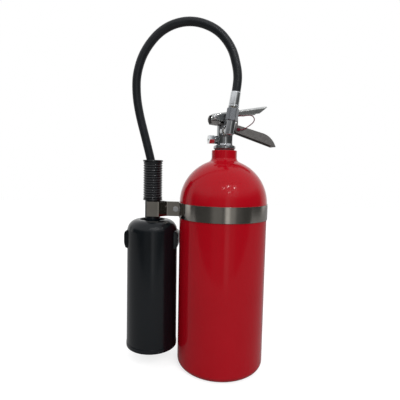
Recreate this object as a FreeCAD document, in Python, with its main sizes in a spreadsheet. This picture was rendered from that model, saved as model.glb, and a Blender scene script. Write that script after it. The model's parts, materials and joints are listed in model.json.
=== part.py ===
import FreeCAD, Part
import math
import os
import Sketcher
from FreeCAD import Placement, Rotation, Vector

# Portable carbon dioxide fire extinguisher: a painted cylinder, a squeeze-grip valve on its neck and a hose
# that loops over to a horn held in a fork on the cylinder's band.
# Millimetres, +Z up, origin on the cylinder's axis at the floor. The horn stands at -X.
# The valve head has a frame of its own: its x runs along the squeeze lever, its -y out of the hose port.

SIZES = {
    # cylinder
    "cylinder_radius": 88.9,
    "cylinder_wall": 4.0,
    "base_thickness": 5.0,
    "base_corner": 14.0,
    "shoulder_height": 339.0,
    "neck_radius": 25.5,
    "neck_length": 21.2357,
    "neck_top": "=shoulder_height + sqrt(cylinder_radius ^ 2 - neck_radius ^ 2) + neck_length",
    "neck_bore": 12.6,
    "neck_fillet": 8.0,
    # valve body
    "head_turn": 20.0,
    "seal_thickness": 2.6,
    "seal_radius": 20.0,
    "collar_radius": 22.4,
    "collar_height": 7.0,
    "body_radius": 16.0,
    "valve_top": "=neck_top + 50.1",
    "shank_radius": 12.5,
    "shank_depth": 20.0,
    "port_height": "=neck_top + 36.6",
    "port_side": -4.5,
    "port_radius": 10.5,
    "port_reach": 24.0,
    "hose_passage": 3.5,
    "disc_port_height": "=neck_top + 20.6",
    "disc_port_radius": 8.2,
    "disc_port_reach": 22.0,
    # valve inside
    "lower_bore": 7.5,
    "seat_height": "=neck_top + 16.6",
    "upper_bore": 6.5,
    "stem_radius": 2.2,
    "stem_clearance": 0.05,
    "stem_tip": "=neck_top + 73",
    "disc_radius": 6.0,
    "disc_thickness": 3.5,
    "seat_thickness": 3.0,
    "spring_wire": 0.7,
    "spring_radius": 4.6,
    "retainer_top": "=neck_top - 9.4",
    "retainer_thickness": 4.0,
    "siphon_radius": 5.0,
    "siphon_bore": 3.8,
    "siphon_foot": 16.0,
    "bonnet_flats": 19.0,
    "bonnet_height": 5.5,
    # levers
    "sheet": 2.0,
    "lever_sheet": 1.8,
    "handle_width": 24.0,
    "lever_width": 24.0,
    "pivot_x": -25.1,
    "pivot_z": "=neck_top + 63.9",
    "pivot_radius": 3.0,
    "pivot_clearance": 0.06,
    "lever_gap": 0.3,
    "rivet_head": 4.6,
    "rivet_head_height": 2.0,
    # pull pin and ring
    "pin_x": 18.0,
    "pin_z": "=neck_top + 69.6",
    "pin_radius": 2.4,
    "pin_clearance": 0.08,
    "pin_front": 17.5,
    "eye_centre": 20.5,
    "eye_radius": 4.2,
    "eye_hole": 1.7,
    "ring_radius": 12.0,
    "ring_wire": 1.0,
    # burst disc assembly
    "plug_flats": 16.2,
    "plug_head": 10.4,
    "plug_gap": 2.3,
    "plug_shank": 5.6,
    "plug_depth": 8.0,
    # hose ends at the valve
    "elbow_offset": 37.0,
    "hose_lean": 8.5,
    "elbow_radius": 9.0,
    "elbow_corner": 3.0,
    "spigot_radius": 7.8,
    "nut_flats": 20.5,
    "nut_turn": -17.0,
    "nut_bottom": 18.3,
    "nut_top": 42.5,
    "ferrule_bottom": 44.0,
    "ferrule_length": 29.6,
    "ferrule_base_radius": 10.3,
    "ferrule_top_radius": 9.6,
    "hose_radius": 8.5,
    "hose_bore": 4.75,
    "crimp_radius": 7.4,
    "nipple_radius": 4.7,
    "nipple_bore": 3.0,
    # where the horn hangs
    "horn_bottom_radius": 52.5,
    "horn_gap": 4.1,
    "horn_x": "=0 - cylinder_radius - horn_gap - horn_bottom_radius",
    # horn band with its fork
    "band_bottom": "=shoulder_height - 30.2",
    "band_top": "=shoulder_height",
    "band_sheet": 1.5,
    "band_clearance": 0.1,
    "ear_gap": 2.0,
    "ear_end": "=horn_x + 29.5",
    "prong_end": "=horn_x - 9.7",
    "fork_clearance": 0.3,
    "bolt_x": "=0 - cylinder_radius - 8.1",
    "bolt_radius": 3.0,
    "bolt_flats": 10.0,
    # horn
    "coupling_radius": 15.7,
    "horn_mouth": 33.9,
    "horn_top_radius": 51.4,
    "horn_wall": 2.6,
    "horn_crown": "=band_bottom - 7.3",
    "crown_radius": 29.0,
    "recess_radius": 25.5,
    "recess_floor": "=horn_crown - 4.5",
    "shoulder_drop": 23.0,
    "lug_width": 40.0,
    "lug_reach": 2.8,
    "lug_top": "=horn_crown - 17.5",
    "lug_bottom": "=horn_crown - 59.5",
    # grip
    "grip_bottom": "=band_top + 2.5",
    "grip_top": "=grip_bottom + 82",
    "rib_radius": 19.7,
    "rib_root": 17.9,
    "grip_bore": 15.3,
    "rib_count": 15,
    "flange_radius": 20.3,
    "flange_height": 4.5,
    # hose end in the grip
    "lower_ferrule_radius": 10.2,
    "lower_ferrule_top": "=grip_bottom + 38.2",
    "lower_ferrule_bottom": "=grip_bottom + 14.5",
    # tamper seal
    "seal_cord_radius": 1.0,
}

# Points of the hose's route, chosen by hand, after its straight start out of the ferrule on the valve.
HOSE_START = 14.0
HOSE_ROUTE = [
    (21.4, -31.0, 584.0), (19.4, -30.0, 602.0), (9.0, -27.0, 640.0), (-21.0, -24.0, 676.0),
    (-72.0, -21.0, 693.0), (-124.0, -18.5, 679.0), (-161.0, -15.5, 639.0), (-177.5, -13.0, 594.0),
    (-178.5, -10.5, 553.0), (-172.5, -8.0, 514.0), (-162.0, -5.0, 473.0), (-152.0, -2.5, 433.0),
    (-145.5, 0.0, 404.0), (-145.5, 0.0, 380.0),
]
# Points of the tamper seal in the valve head's frame: through the pin's tip, out and back to the handle.
SEAL_ROUTE = [
    (20.0, -15.4, 515.0), (30.0, -15.0, 513.5), (42.0, -14.6, 516.5), (53.0, -14.2, 517.0),
    (58.5, -14.2, 510.5), (56.0, -14.2, 503.0), (47.0, -14.2, 496.0), (38.0, -14.2, 490.0), (32.5, -14.2, 487.0),
    (26.5, -14.2, 487.0),
]

# The neck's top, the grip's foot and the horn's axis that both routes are laid for.
ROUTE_NECK_TOP = 445.4
ROUTE_GRIP_FOOT = 341.5
ROUTE_HORN_X = -145.5

# Angle of the fork's bend and the shift that keeps the strip's thickness round it.
FORK_BEND = 45.0
MITRE = math.tan(math.radians(FORK_BEND / 2))

doc = FreeCAD.newDocument("fire_extinguisher")
sheet = doc.addObject("Spreadsheet::Sheet", "Sizes")
PARTS = []


class Size:
    """A size from the sheet, or one worked out from others: its value and its expression."""

    def __init__(self, value, text):
        self.value = float(value)
        self.text = text

    def __add__(self, other):
        other = as_size(other)
        return Size(self.value + other.value, f"({self.text} + {other.text})")

    def __sub__(self, other):
        other = as_size(other)
        return Size(self.value - other.value, f"({self.text} - {other.text})")

    def __mul__(self, other):
        other = as_size(other)
        return Size(self.value * other.value, f"({self.text} * {other.text})")

    def __truediv__(self, other):
        other = as_size(other)
        return Size(self.value / other.value, f"({self.text} / {other.text})")

    def __neg__(self):
        return Size(-self.value, f"(0 - {self.text})")

    def __radd__(self, other):
        return as_size(other) + self

    def __rsub__(self, other):
        return as_size(other) - self

    def __rmul__(self, other):
        return as_size(other) * self


def as_size(term):
    """A plain number made a Size, and a Size left as it is."""
    if isinstance(term, Size):
        return term
    text = f"{term:.6f}" if term >= 0 else f"(0 - {-term:.6f})"
    return Size(term, text)


def fill_sheet():
    """The driving dimensions go in the sheet, one row each, with the name as the alias."""
    for row, (name, value) in enumerate(SIZES.items(), start=1):
        sheet.set(f"A{row}", name)
        sheet.set(f"B{row}", str(value))
        sheet.setAlias(f"B{row}", name)
    doc.recompute()


def size(name):
    """A driving dimension, read back from the sheet."""
    return Size(getattr(sheet, name), f"Sizes.{name}")


def bind(item, **sizes):
    """Bind each named property of a document object to its size."""
    for name, term in sizes.items():
        term = as_size(term)
        setattr(item, name, term.value)
        item.setExpression(name, term.text)


# ---- sketches -----------------------------------------------------------------------------------

def new_body(label):
    body = doc.addObject("PartDesign::Body", label)
    PARTS.append(body)
    return body


def new_sketch(body, plane, height=0.0):
    """A sketch on one of the body's own planes, moved out along the plane's normal."""
    sketch = body.newObject("Sketcher::SketchObject", f"{body.Name}_sketch")
    support = next(item for item in body.Origin.OriginFeatures if item.Role == f"{plane}_Plane")
    sketch.AttachmentSupport = (support, [""])
    sketch.MapMode = "FlatFace"
    height = as_size(height)
    sketch.AttachmentOffset = Placement(Vector(0, 0, height.value), Rotation())
    sketch.setExpression("AttachmentOffset.Base.z", height.text)
    return sketch


def constrain(sketch, kind, geometry, vertex, term):
    """Fix one coordinate of a sketch point: on an axis where it is 0, otherwise by a bound distance."""
    if term.value == 0:
        axis = -2 if kind == "DistanceX" else -1
        sketch.addConstraint(Sketcher.Constraint("PointOnObject", geometry, vertex, axis))
        return
    if term.value > 0:
        ends = (-1, 1, geometry, vertex)
    else:
        ends = (geometry, vertex, -1, 1)
        term = -term
    index = sketch.addConstraint(Sketcher.Constraint(kind, *ends, term.value))
    sketch.setExpression(f"Constraints[{index}]", term.text)


def draw_outline(sketch, corners):
    """A closed outline. A corner is (x, y), or (x, y, radius, side) where an arc leads to it from the corner
    before, with its centre on the left (side 1) or right (side -1) of the way there."""
    points = [tuple(as_size(term) for term in corner[:2]) for corner in corners]
    ends = []
    for index, corner in enumerate(corners):
        start = points[index - 1]
        end = points[index]
        tail = Vector(start[0].value, start[1].value, 0)
        head = Vector(end[0].value, end[1].value, 0)
        if len(corner) == 2:
            geometry = sketch.addGeometry(Part.LineSegment(tail, head))
            ends.append((geometry, 1, 2))
            continue
        radius = as_size(corner[2])
        side = corner[3]
        half = (head - tail) * 0.5
        across = Vector(-half.y, half.x, 0).normalize() * side
        centre = tail + half + across * math.sqrt(max(radius.value ** 2 - half.Length ** 2, 0.0))
        first = math.atan2(tail.y - centre.y, tail.x - centre.x)
        last = math.atan2(head.y - centre.y, head.x - centre.x)
        circle = Part.Circle(centre, Vector(0, 0, 1), radius.value)
        if side > 0:
            geometry = sketch.addGeometry(Part.ArcOfCircle(circle, first, last))
            ends.append((geometry, 1, 2))
        else:
            geometry = sketch.addGeometry(Part.ArcOfCircle(circle, last, first))
            ends.append((geometry, 2, 1))
        number = sketch.addConstraint(Sketcher.Constraint("Radius", geometry, radius.value))
        sketch.setExpression(f"Constraints[{number}]", radius.text)
    for index, (geometry, _, vertex) in enumerate(ends):
        after, first_vertex, _ = ends[(index + 1) % len(ends)]
        sketch.addConstraint(Sketcher.Constraint("Coincident", geometry, vertex, after, first_vertex))
        constrain(sketch, "DistanceX", geometry, vertex, points[index][0])
        constrain(sketch, "DistanceY", geometry, vertex, points[index][1])


def draw_circle(sketch, radius, x=0.0, y=0.0):
    radius, x, y = (as_size(term) for term in (radius, x, y))
    circle = Part.Circle(Vector(x.value, y.value, 0), Vector(0, 0, 1), radius.value)
    geometry = sketch.addGeometry(circle)
    constrain(sketch, "DistanceX", geometry, 3, x)
    constrain(sketch, "DistanceY", geometry, 3, y)
    number = sketch.addConstraint(Sketcher.Constraint("Radius", geometry, radius.value))
    sketch.setExpression(f"Constraints[{number}]", radius.text)


def hexagon(flats):
    """Corners of a hexagon whose flats face the sketch's x."""
    side = as_size(flats) / math.sqrt(3)
    half = as_size(flats) / 2
    return [(half, side / 2), (0.0, side), (-half, side / 2), (-half, -side / 2), (0.0, -side), (half, -side / 2)]


# ---- features -----------------------------------------------------------------------------------

def revolve(body, corners):
    """Turn an outline of (radius, height) corners about the body's upright axis."""
    sketch = new_sketch(body, "XZ")
    draw_outline(sketch, corners)
    feature = body.newObject("PartDesign::Revolution", f"{body.Name}_turned")
    feature.Profile = sketch
    feature.ReferenceAxis = (sketch, ["V_Axis"])
    feature.Angle = 360
    return finish(body, feature)


def groove(body, corners):
    """Turn an outline about the body's upright axis and take it away."""
    sketch = new_sketch(body, "XZ")
    draw_outline(sketch, corners)
    feature = body.newObject("PartDesign::Groove", f"{body.Name}_groove")
    feature.Profile = sketch
    feature.ReferenceAxis = (sketch, ["V_Axis"])
    feature.Angle = 360
    return finish(body, feature)


def pad(body, sketch, length, middle=False, back=False):
    """Raise a sketch along its normal, to both sides of it where middle is set."""
    feature = body.newObject("PartDesign::Pad", f"{body.Name}_pad")
    feature.Profile = sketch
    feature.SideType = "Symmetric" if middle else "One side"
    feature.Reversed = back
    bind(feature, Length=length)
    return finish(body, feature)


def pocket(body, sketch, length, middle=False, back=False):
    """Cut a sketch's outline out of the body, against its normal unless back is set."""
    before = body.Shape.Volume
    feature = body.newObject("PartDesign::Pocket", f"{body.Name}_pocket")
    feature.Profile = sketch
    feature.SideType = "Symmetric" if middle else "One side"
    feature.Reversed = back
    bind(feature, Length=length)
    finish(body, feature)
    if body.Shape.Volume >= before:
        raise ValueError(f"{body.Label}: a pocket cuts nothing")
    return feature


def fillet(body, radius, chosen):
    """Round the edges for which chosen(edge) is true."""
    base = body.Tip
    names = [f"Edge{n}" for n, edge in enumerate(base.Shape.Edges, start=1) if chosen(edge)]
    if not names:
        raise ValueError(f"{body.Label}: no edge to round")
    feature = body.newObject("PartDesign::Fillet", f"{body.Name}_fillet")
    feature.Base = (base, names)
    bind(feature, Radius=radius)
    return finish(body, feature)


def chamfer(body, width, chosen):
    base = body.Tip
    names = [f"Edge{n}" for n, edge in enumerate(base.Shape.Edges, start=1) if chosen(edge)]
    if not names:
        raise ValueError(f"{body.Label}: no edge to chamfer")
    feature = body.newObject("PartDesign::Chamfer", f"{body.Name}_chamfer")
    feature.Base = (base, names)
    bind(feature, Size=width)
    return finish(body, feature)


def finish(body, feature):
    body.Tip = feature
    doc.recompute()
    if feature.Shape.isNull():
        raise ValueError(f"{feature.Name} made no shape")
    return feature


def ring_edge(radius, height):
    """Chooses the round edge of that radius at that height."""
    def chosen(edge):
        curve = edge.Curve
        if not isinstance(curve, Part.Circle):
            return False
        return abs(curve.Radius - radius.value) < 0.01 and abs(curve.Center.z - height.value) < 0.01
    return chosen


def upright_edge(x, y):
    """Chooses the upright edge through (x, y) or its mirror image in y."""
    def chosen(edge):
        if not isinstance(edge.Curve, Part.Line):
            return False
        first, last = (vertex.Point for vertex in edge.Vertexes)
        upright = abs(first.x - last.x) < 0.01 and abs(first.y - last.y) < 0.01
        return upright and abs(first.x - x.value) < 0.05 and abs(abs(first.y) - y.value) < 0.05
    return chosen


def tube(label, outer, inner, bottom, top):
    """A plain turned tube, or a rod where inner is 0."""
    body = new_body(label)
    revolve(body, [(inner, bottom), (outer, bottom), (outer, top), (inner, top)])
    return body


def turned(label, corners):
    body = new_body(label)
    revolve(body, corners)
    return body


# ---- places -------------------------------------------------------------------------------------

def head_place():
    """Where the valve head's frame stands."""
    return Placement(Vector(), Rotation(Vector(0, 0, 1), size("head_turn").value))


def hose_end_place():
    """Where the elbow's frame stands: at the port, leaning about the port's axis."""
    corner = Vector(size("port_side").value, -size("elbow_offset").value, size("port_height").value)
    return head_place() * Placement(corner, Rotation(Vector(0, 1, 0), size("hose_lean").value))


def set_place(bodies, placement):
    for body in bodies:
        body.Placement = placement


# ---- cylinder -----------------------------------------------------------------------------------

def make_cylinder():
    """A one-piece shell: flat base, straight wall, hemispherical shoulder and a short threaded neck."""
    radius = size("cylinder_radius")
    wall = size("cylinder_wall")
    shoulder = size("shoulder_height")
    neck = size("neck_radius")
    bore = size("neck_bore")
    base = size("base_thickness")
    corner = size("base_corner")
    top = size("neck_top")
    inner = radius - wall
    inner_corner = corner - wall + 4.0
    body = new_body("cylinder")
    neck_foot = above_sphere(shoulder, radius, neck)
    bore_foot = above_sphere(shoulder, inner, bore)
    revolve(body, [
        (bore, top), (bore, bore_foot), (inner, shoulder, inner, -1), (inner, base + inner_corner),
        (inner - inner_corner, base, inner_corner, -1), (0.0, base), (0.0, 0.0), (radius - corner, 0.0),
        (radius, corner, corner, 1), (radius, shoulder), (neck, neck_foot, radius, 1), (neck, top),
    ])
    fillet(body, size("neck_fillet"), ring_edge(neck, neck_foot))
    chamfer(body, 1.2, ring_edge(neck, top))


def above_sphere(centre, radius, reach):
    """Height at which a sphere about the axis is `reach` away from it."""
    rise = math.sqrt(radius.value ** 2 - reach.value ** 2)
    text = f"sqrt({radius.text} * {radius.text} - {reach.text} * {reach.text})"
    return centre + Size(rise, text)


# ---- valve body and what is in it ---------------------------------------------------------------

def make_valve_body():
    """A forged body: shank in the neck, round collar, upright barrel, a hose port and a burst-disc port."""
    neck_top = size("neck_top")
    collar_foot = neck_top + size("seal_thickness")
    collar_top = collar_foot + size("collar_height")
    barrel = size("body_radius")
    top = size("valve_top")
    collar = size("collar_radius")
    shank = size("shank_radius")
    lower = size("lower_bore")
    upper = size("upper_bore")
    seat = size("seat_height")
    passage = size("stem_radius") + 1.6
    step = size("retainer_top") - size("retainer_thickness")
    siphon = size("siphon_radius") + 0.05
    foot = neck_top - size("shank_depth")
    body = new_body("valve_body")
    revolve(body, [
        (siphon, foot), (shank, foot), (shank, collar_foot), (collar - 1.2, collar_foot),
        (collar, collar_foot + 1.2), (collar, collar_top - 1.8), (collar - 1.8, collar_top),
        (barrel + 1.0, collar_top), (barrel, collar_top + 4.0), (barrel, top - 2.0), (barrel - 2.0, top),
        (upper, top), (upper, seat + 7.0), (passage, seat + 7.0), (passage, seat), (lower, seat),
        (lower, step), (siphon, step),
    ])
    add_hose_port(body)
    add_disc_port(body)
    drill(body, 0.0, size("disc_port_height") - 6.5, 1.2, size("disc_port_reach") - 6.0, "YZ")
    drill_blind(body, size("disc_port_height"), size("plug_shank") + 0.05, size("disc_port_reach"),
                size("plug_depth") + 1.2)
    body.Placement = head_place()


def add_hose_port(body):
    """A round boss a little to one side of the axis, from the barrel's wall to the elbow, and its passage."""
    start = size("upper_bore") + 4.5
    sketch = new_sketch(body, "XZ", start)
    draw_circle(sketch, size("port_radius"), size("port_side"), size("port_height"))
    pad(body, sketch, size("port_reach") - start)
    drill(body, size("port_side") / 2, size("port_height"), size("hose_passage"), size("port_reach"), "XZ")


def add_disc_port(body):
    """A round boss towards -x, from the barrel's wall to the burst disc's plug."""
    start = size("lower_bore") + 3.0
    sketch = new_sketch(body, "YZ", -start)
    draw_circle(sketch, size("disc_port_radius"), 0.0, size("disc_port_height"))
    pad(body, sketch, size("disc_port_reach") - start, back=True)


def drill(body, side, height, radius, reach, plane):
    """A hole from the middle of the body out through a port."""
    sketch = new_sketch(body, plane)
    draw_circle(sketch, radius, side, height)
    pocket(body, sketch, reach, back=plane == "XZ")


def drill_blind(body, height, radius, reach, depth):
    """The flat-bottomed hole that the burst disc's plug screws into."""
    sketch = new_sketch(body, "YZ", -reach)
    draw_circle(sketch, radius, 0.0, height)
    pocket(body, sketch, depth, back=True)


def make_neck_seal():
    foot = size("neck_top")
    body = tube("neck_seal", size("seal_radius"), size("shank_radius"), foot, foot + size("seal_thickness"))
    body.Placement = head_place()


def make_siphon_tube():
    top = size("retainer_top") - size("retainer_thickness")
    tube("siphon_tube", size("siphon_radius"), size("siphon_bore"), size("siphon_foot"), top)


def make_stem_parts():
    """The seat, the stem under the lever with its disc, the spring that lifts it, and the bonnet over it."""
    seat = size("seat_height")
    lower = size("lower_bore") - 0.05
    stem = size("stem_radius")
    seat_foot = seat - size("seat_thickness")
    disc_top = seat_foot - 0.05
    disc = size("disc_radius")
    disc_foot = disc_top - size("disc_thickness")
    tip = size("stem_tip")
    retainer_top = size("retainer_top")
    retainer_foot = retainer_top - size("retainer_thickness")

    tube("valve_seat", lower, stem + 1.6, seat_foot, seat)
    turned("valve_stem", [
        (0.0, disc_foot - 3.0), (2.6, disc_foot - 3.0), (2.6, disc_foot), (disc, disc_foot),
        (disc, disc_foot + 1.5), (stem, disc_foot + 1.5), (stem, tip - 0.7), (stem - 0.7, tip), (0.0, tip),
    ])
    tube("stem_disc", disc, stem, disc_foot + 1.5, disc_top)
    tube("spring_retainer", lower, 3.0, retainer_foot, retainer_top)

    bonnet_bore = stem + size("stem_clearance")
    upper = size("upper_bore") - 0.05
    top = size("valve_top")
    hex_foot = top + size("sheet")
    body = turned("stem_bonnet", [
        (bonnet_bore, top - 8.0), (bonnet_bore + 1.8, top - 8.0), (bonnet_bore + 1.8, top - 10.0),
        (upper, top - 10.0), (upper, hex_foot + 1.0), (bonnet_bore, hex_foot + 1.0),
    ])
    sketch = new_sketch(body, "XY", hex_foot)
    draw_outline(sketch, swapped(hexagon(size("bonnet_flats"))))
    pad(body, sketch, size("bonnet_height"))
    sketch = new_sketch(body, "XY", hex_foot)
    draw_circle(sketch, bonnet_bore)
    pocket(body, sketch, size("bonnet_height") + 1.0, back=True)
    tube("stem_seal", bonnet_bore + 1.75, bonnet_bore, top - 10.0, top - 8.05)
    for label in ("valve_seat", "valve_stem", "stem_disc", "spring_retainer", "stem_bonnet", "stem_seal"):
        find_part(label).Placement = head_place()


def swapped(corners):
    """The same outline turned a quarter, so that flats face y."""
    return [(y, x) for x, y in reversed(corners)]


def find_part(label):
    return next(part for part in PARTS if part.Label == label)


def make_valve_spring():
    """A coil from the retainer up to the stem's disc."""
    wire = size("spring_wire")
    foot = size("retainer_top") + wire + 0.1
    disc_foot = size("seat_height") - size("seat_thickness") - 0.05 - size("disc_thickness")
    body = new_body("valve_spring")
    sketch = new_sketch(body, "XZ")
    draw_circle(sketch, wire, size("spring_radius"), foot)
    feature = body.newObject("PartDesign::AdditiveHelix", "valve_spring_coil")
    feature.Profile = sketch
    feature.ReferenceAxis = (sketch, ["V_Axis"])
    feature.Mode = "height-turns-angle"
    feature.Turns = 5
    bind(feature, Height=disc_foot - wire - 0.1 - foot)
    finish(body, feature)
    body.Placement = head_place()


def make_burst_disc():
    """Burst disc, its washer and the hex plug that clamps them, in a frame whose z runs out of the port."""
    reach = size("disc_port_reach")
    shank = size("plug_shank")
    depth = size("plug_depth")
    gap = size("plug_gap")
    floor = reach - depth - 1.2
    disc = tube("burst_disc", shank, 0.0, floor, floor + 0.4)
    washer = tube("burst_disc_washer", shank, 3.0, floor + 0.4, floor + 1.2)
    plug = turned("burst_disc_plug", [
        (2.0, reach - depth), (shank, reach - depth), (shank, reach), (shank + 1.0, reach),
        (shank + 1.0, reach + gap + 1.0), (2.0, reach + gap + 1.0),
    ])
    sketch = new_sketch(plug, "XY", reach + gap)
    draw_outline(sketch, hexagon(size("plug_flats")))
    pad(plug, sketch, size("plug_head"))
    sketch = new_sketch(plug, "XY", reach + gap)
    draw_circle(sketch, 2.0)
    pocket(plug, sketch, size("plug_head"), back=True)
    out = Placement(Vector(0, 0, size("disc_port_height").value), Rotation(Vector(0, 1, 0), -90))
    set_place((disc, washer, plug), head_place() * out)


# ---- levers -------------------------------------------------------------------------------------

def make_carry_handle():
    """A folded sheet: saddle under the bonnet, ears to the pivot, notched ears for the pin, drooping grip."""
    top = size("valve_top")
    sheet_thickness = size("sheet")
    saddle = top + sheet_thickness
    width = size("handle_width")
    body = new_body("carry_handle")
    sketch = new_sketch(body, "XZ")
    draw_outline(sketch, [
        (-18.0, top), (17.0, top), (18.6, saddle - 15.0), (109.6, saddle - 41.8), (79.0, saddle - 14.5, 43.0, 1),
        (17.5, saddle), (-18.0, saddle),
    ])
    pad(body, sketch, width, middle=True)
    sketch = new_sketch(body, "XZ")
    draw_outline(sketch, [
        (10.0, top - 18.0), (10.0, top), (17.0, top), (78.5, top - 14.5),
        (107.6, top - 41.0, 41.0, -1), (112.0, top - 41.0), (112.0, top - 60.0), (10.0, top - 60.0),
    ])
    pocket(body, sketch, width - sheet_thickness * 2, middle=True)
    ear_width = size("lever_width") - size("lever_sheet") * 2 - size("lever_gap") * 2
    pivot_x = size("pivot_x")
    pivot_z = size("pivot_z")
    sketch = new_sketch(body, "XZ")
    draw_outline(sketch, [
        (-15.0, top), (-15.0, saddle + 4.0), (pivot_x + 6.5, pivot_z), (pivot_x - 6.5, pivot_z, 6.7, 1),
        (pivot_x - 7.6, top + 6.0), (pivot_x - 5.2, top + 1.0), (-18.0, top),
    ])
    pad(body, sketch, ear_width, middle=True)
    sketch = new_sketch(body, "XZ")
    draw_outline(sketch, [
        (-40.0, saddle), (-16.0, saddle), (-16.0, saddle + 30.0), (-40.0, saddle + 30.0),
    ])
    pocket(body, sketch, ear_width - sheet_thickness * 2, middle=True)
    make_pin_ears(body, ear_width, saddle)
    sketch = new_sketch(body, "XY", top)
    draw_circle(sketch, size("upper_bore"))
    pocket(body, sketch, sheet_thickness, back=True)
    sketch = new_sketch(body, "XZ")
    draw_circle(sketch, size("pivot_radius"), pivot_x, pivot_z)
    pocket(body, sketch, width, middle=True)
    body.Placement = head_place()


def make_pin_ears(body, ear_width, saddle):
    """Two upright ears, each with a notch open at the top that the pull pin comes down into."""
    pin_x = size("pin_x")
    notch = size("pin_radius") + 0.8
    sketch = new_sketch(body, "XZ")
    draw_outline(sketch, [
        (pin_x - 6.0, saddle - 1.0), (pin_x + 6.0, saddle - 3.0), (pin_x + 6.0, saddle + 13.0),
        (pin_x - 6.0, saddle + 13.0),
    ])
    pad(body, sketch, ear_width, middle=True)
    sketch = new_sketch(body, "XZ")
    draw_outline(sketch, [
        (pin_x - 7.0, saddle), (pin_x + 7.0, saddle), (pin_x + 7.0, saddle + 14.0), (pin_x - 7.0, saddle + 14.0),
    ])
    pocket(body, sketch, ear_width - size("sheet") * 2, middle=True)
    sketch = new_sketch(body, "XZ")
    draw_outline(sketch, [
        (pin_x - notch + 0.2, saddle + 2.5), (pin_x + notch + 0.3, saddle + 2.5),
        (pin_x + notch + 0.3, saddle + 14.0), (pin_x - notch + 0.2, saddle + 14.0),
    ])
    pocket(body, sketch, ear_width + 1.0, middle=True)


def make_squeeze_lever():
    """A channel open below, hinged at the back: its deep walls shallow towards the tip."""
    wall = size("lever_sheet")
    width = size("lever_width")
    pivot_x = size("pivot_x")
    pivot_z = size("pivot_z")
    slope = math.tan(math.radians(11.05))

    def top_at(x):
        return pivot_z + 6.1 + (as_size(x) + 31.0) * slope

    body = new_body("squeeze_lever")
    sketch = new_sketch(body, "XZ")
    draw_outline(sketch, [
        (-33.0, pivot_z - 6.8), (-3.0, pivot_z - 5.4), (14.0, pivot_z - 0.6), (22.5, pivot_z + 2.4),
        (28.0, pivot_z + 6.3), (69.8, pivot_z + 12.8), (80.4, pivot_z + 21.0), (86.7, pivot_z + 26.2),
        (86.2, pivot_z + 27.9), (78.0, top_at(78.0)), (-28.0, top_at(-28.0)), (-33.0, pivot_z + 2.0, 6.5, 1),
    ])
    pad(body, sketch, width, middle=True)
    fillet(body, 4.0, lambda edge: is_top_side(edge, width, pivot_z))
    sketch = new_sketch(body, "XZ")
    draw_outline(sketch, [
        (-40.0, pivot_z - 20.0), (90.0, pivot_z - 20.0), (90.0, pivot_z + 24.2), (80.0, top_at(80.0) - wall * 1.1),
        (-40.0, top_at(-40.0) - wall * 1.1),
    ])
    pocket(body, sketch, width - wall * 2, middle=True)
    sketch = new_sketch(body, "XZ")
    draw_circle(sketch, size("pivot_radius") + size("pivot_clearance"), pivot_x, pivot_z)
    draw_circle(sketch, size("pin_radius") + size("pin_clearance"), size("pin_x"), size("pin_z"))
    pocket(body, sketch, width + 2.0, middle=True)
    body.Placement = head_place()


def is_top_side(edge, width, pivot_z):
    """The long edges along the top of the lever, one on each side."""
    if not isinstance(edge.Curve, Part.Line) or edge.Length < 90:
        return False
    middle = edge.valueAt((edge.FirstParameter + edge.LastParameter) / 2)
    return abs(abs(middle.y) - width.value / 2) < 0.05 and middle.z > pivot_z.value + 8


def make_lever_rivet():
    """The pivot: a shaft through the ears and the lever, headed at both ends."""
    radius = size("pivot_radius")
    head = size("rivet_head")
    inside = size("lever_width") / 2 + size("lever_gap")
    outside = inside + size("rivet_head_height")
    flat = head - 3.4
    body = turned("lever_rivet", [
        (0.0, -outside), (flat, -outside), (head, -inside, 4.0, 1), (radius, -inside), (radius, inside),
        (head, inside), (flat, outside, 4.0, 1), (0.0, outside),
    ])
    across = Placement(Vector(size("pivot_x").value, 0, size("pivot_z").value), Rotation(Vector(1, 0, 0), -90))
    body.Placement = head_place() * across


def make_pull_pin():
    """A plain pin with a cross hole at its front for the seal and a flat eye at its back for the ring."""
    radius = size("pin_radius")
    front = size("pin_front")
    eye = size("eye_centre")
    body = turned("pull_pin", [(0.0, -front), (radius - 0.6, -front), (radius, 0.6 - front), (radius, eye - 2.0),
                               (0.0, eye - 2.0)])
    sketch = new_sketch(body, "YZ")
    draw_circle(sketch, size("eye_radius"), 0.0, eye)
    pad(body, sketch, 3.0, middle=True)
    sketch = new_sketch(body, "YZ")
    draw_circle(sketch, size("eye_hole"), 0.0, eye)
    draw_circle(sketch, 1.1, 0.0, 2.1 - front)
    pocket(body, sketch, 8.0, middle=True)
    across = Placement(Vector(size("pin_x").value, 0, size("pin_z").value), Rotation(Vector(1, 0, 0), -90))
    body.Placement = head_place() * across


def make_pull_ring():
    """The ring that hangs from the pin's eye."""
    ring = doc.addObject("Part::Torus", "pull_ring")
    bind(ring, Radius1=size("ring_radius"), Radius2=size("ring_wire"))
    PARTS.append(ring)
    centre = Vector(size("pin_x").value, size("eye_centre").value, size("pin_z").value - size("ring_radius").value)
    ring.Placement = head_place() * Placement(centre, Rotation(Vector(1, 0, 0), 90))


# ---- hose and its ends --------------------------------------------------------------------------

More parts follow.
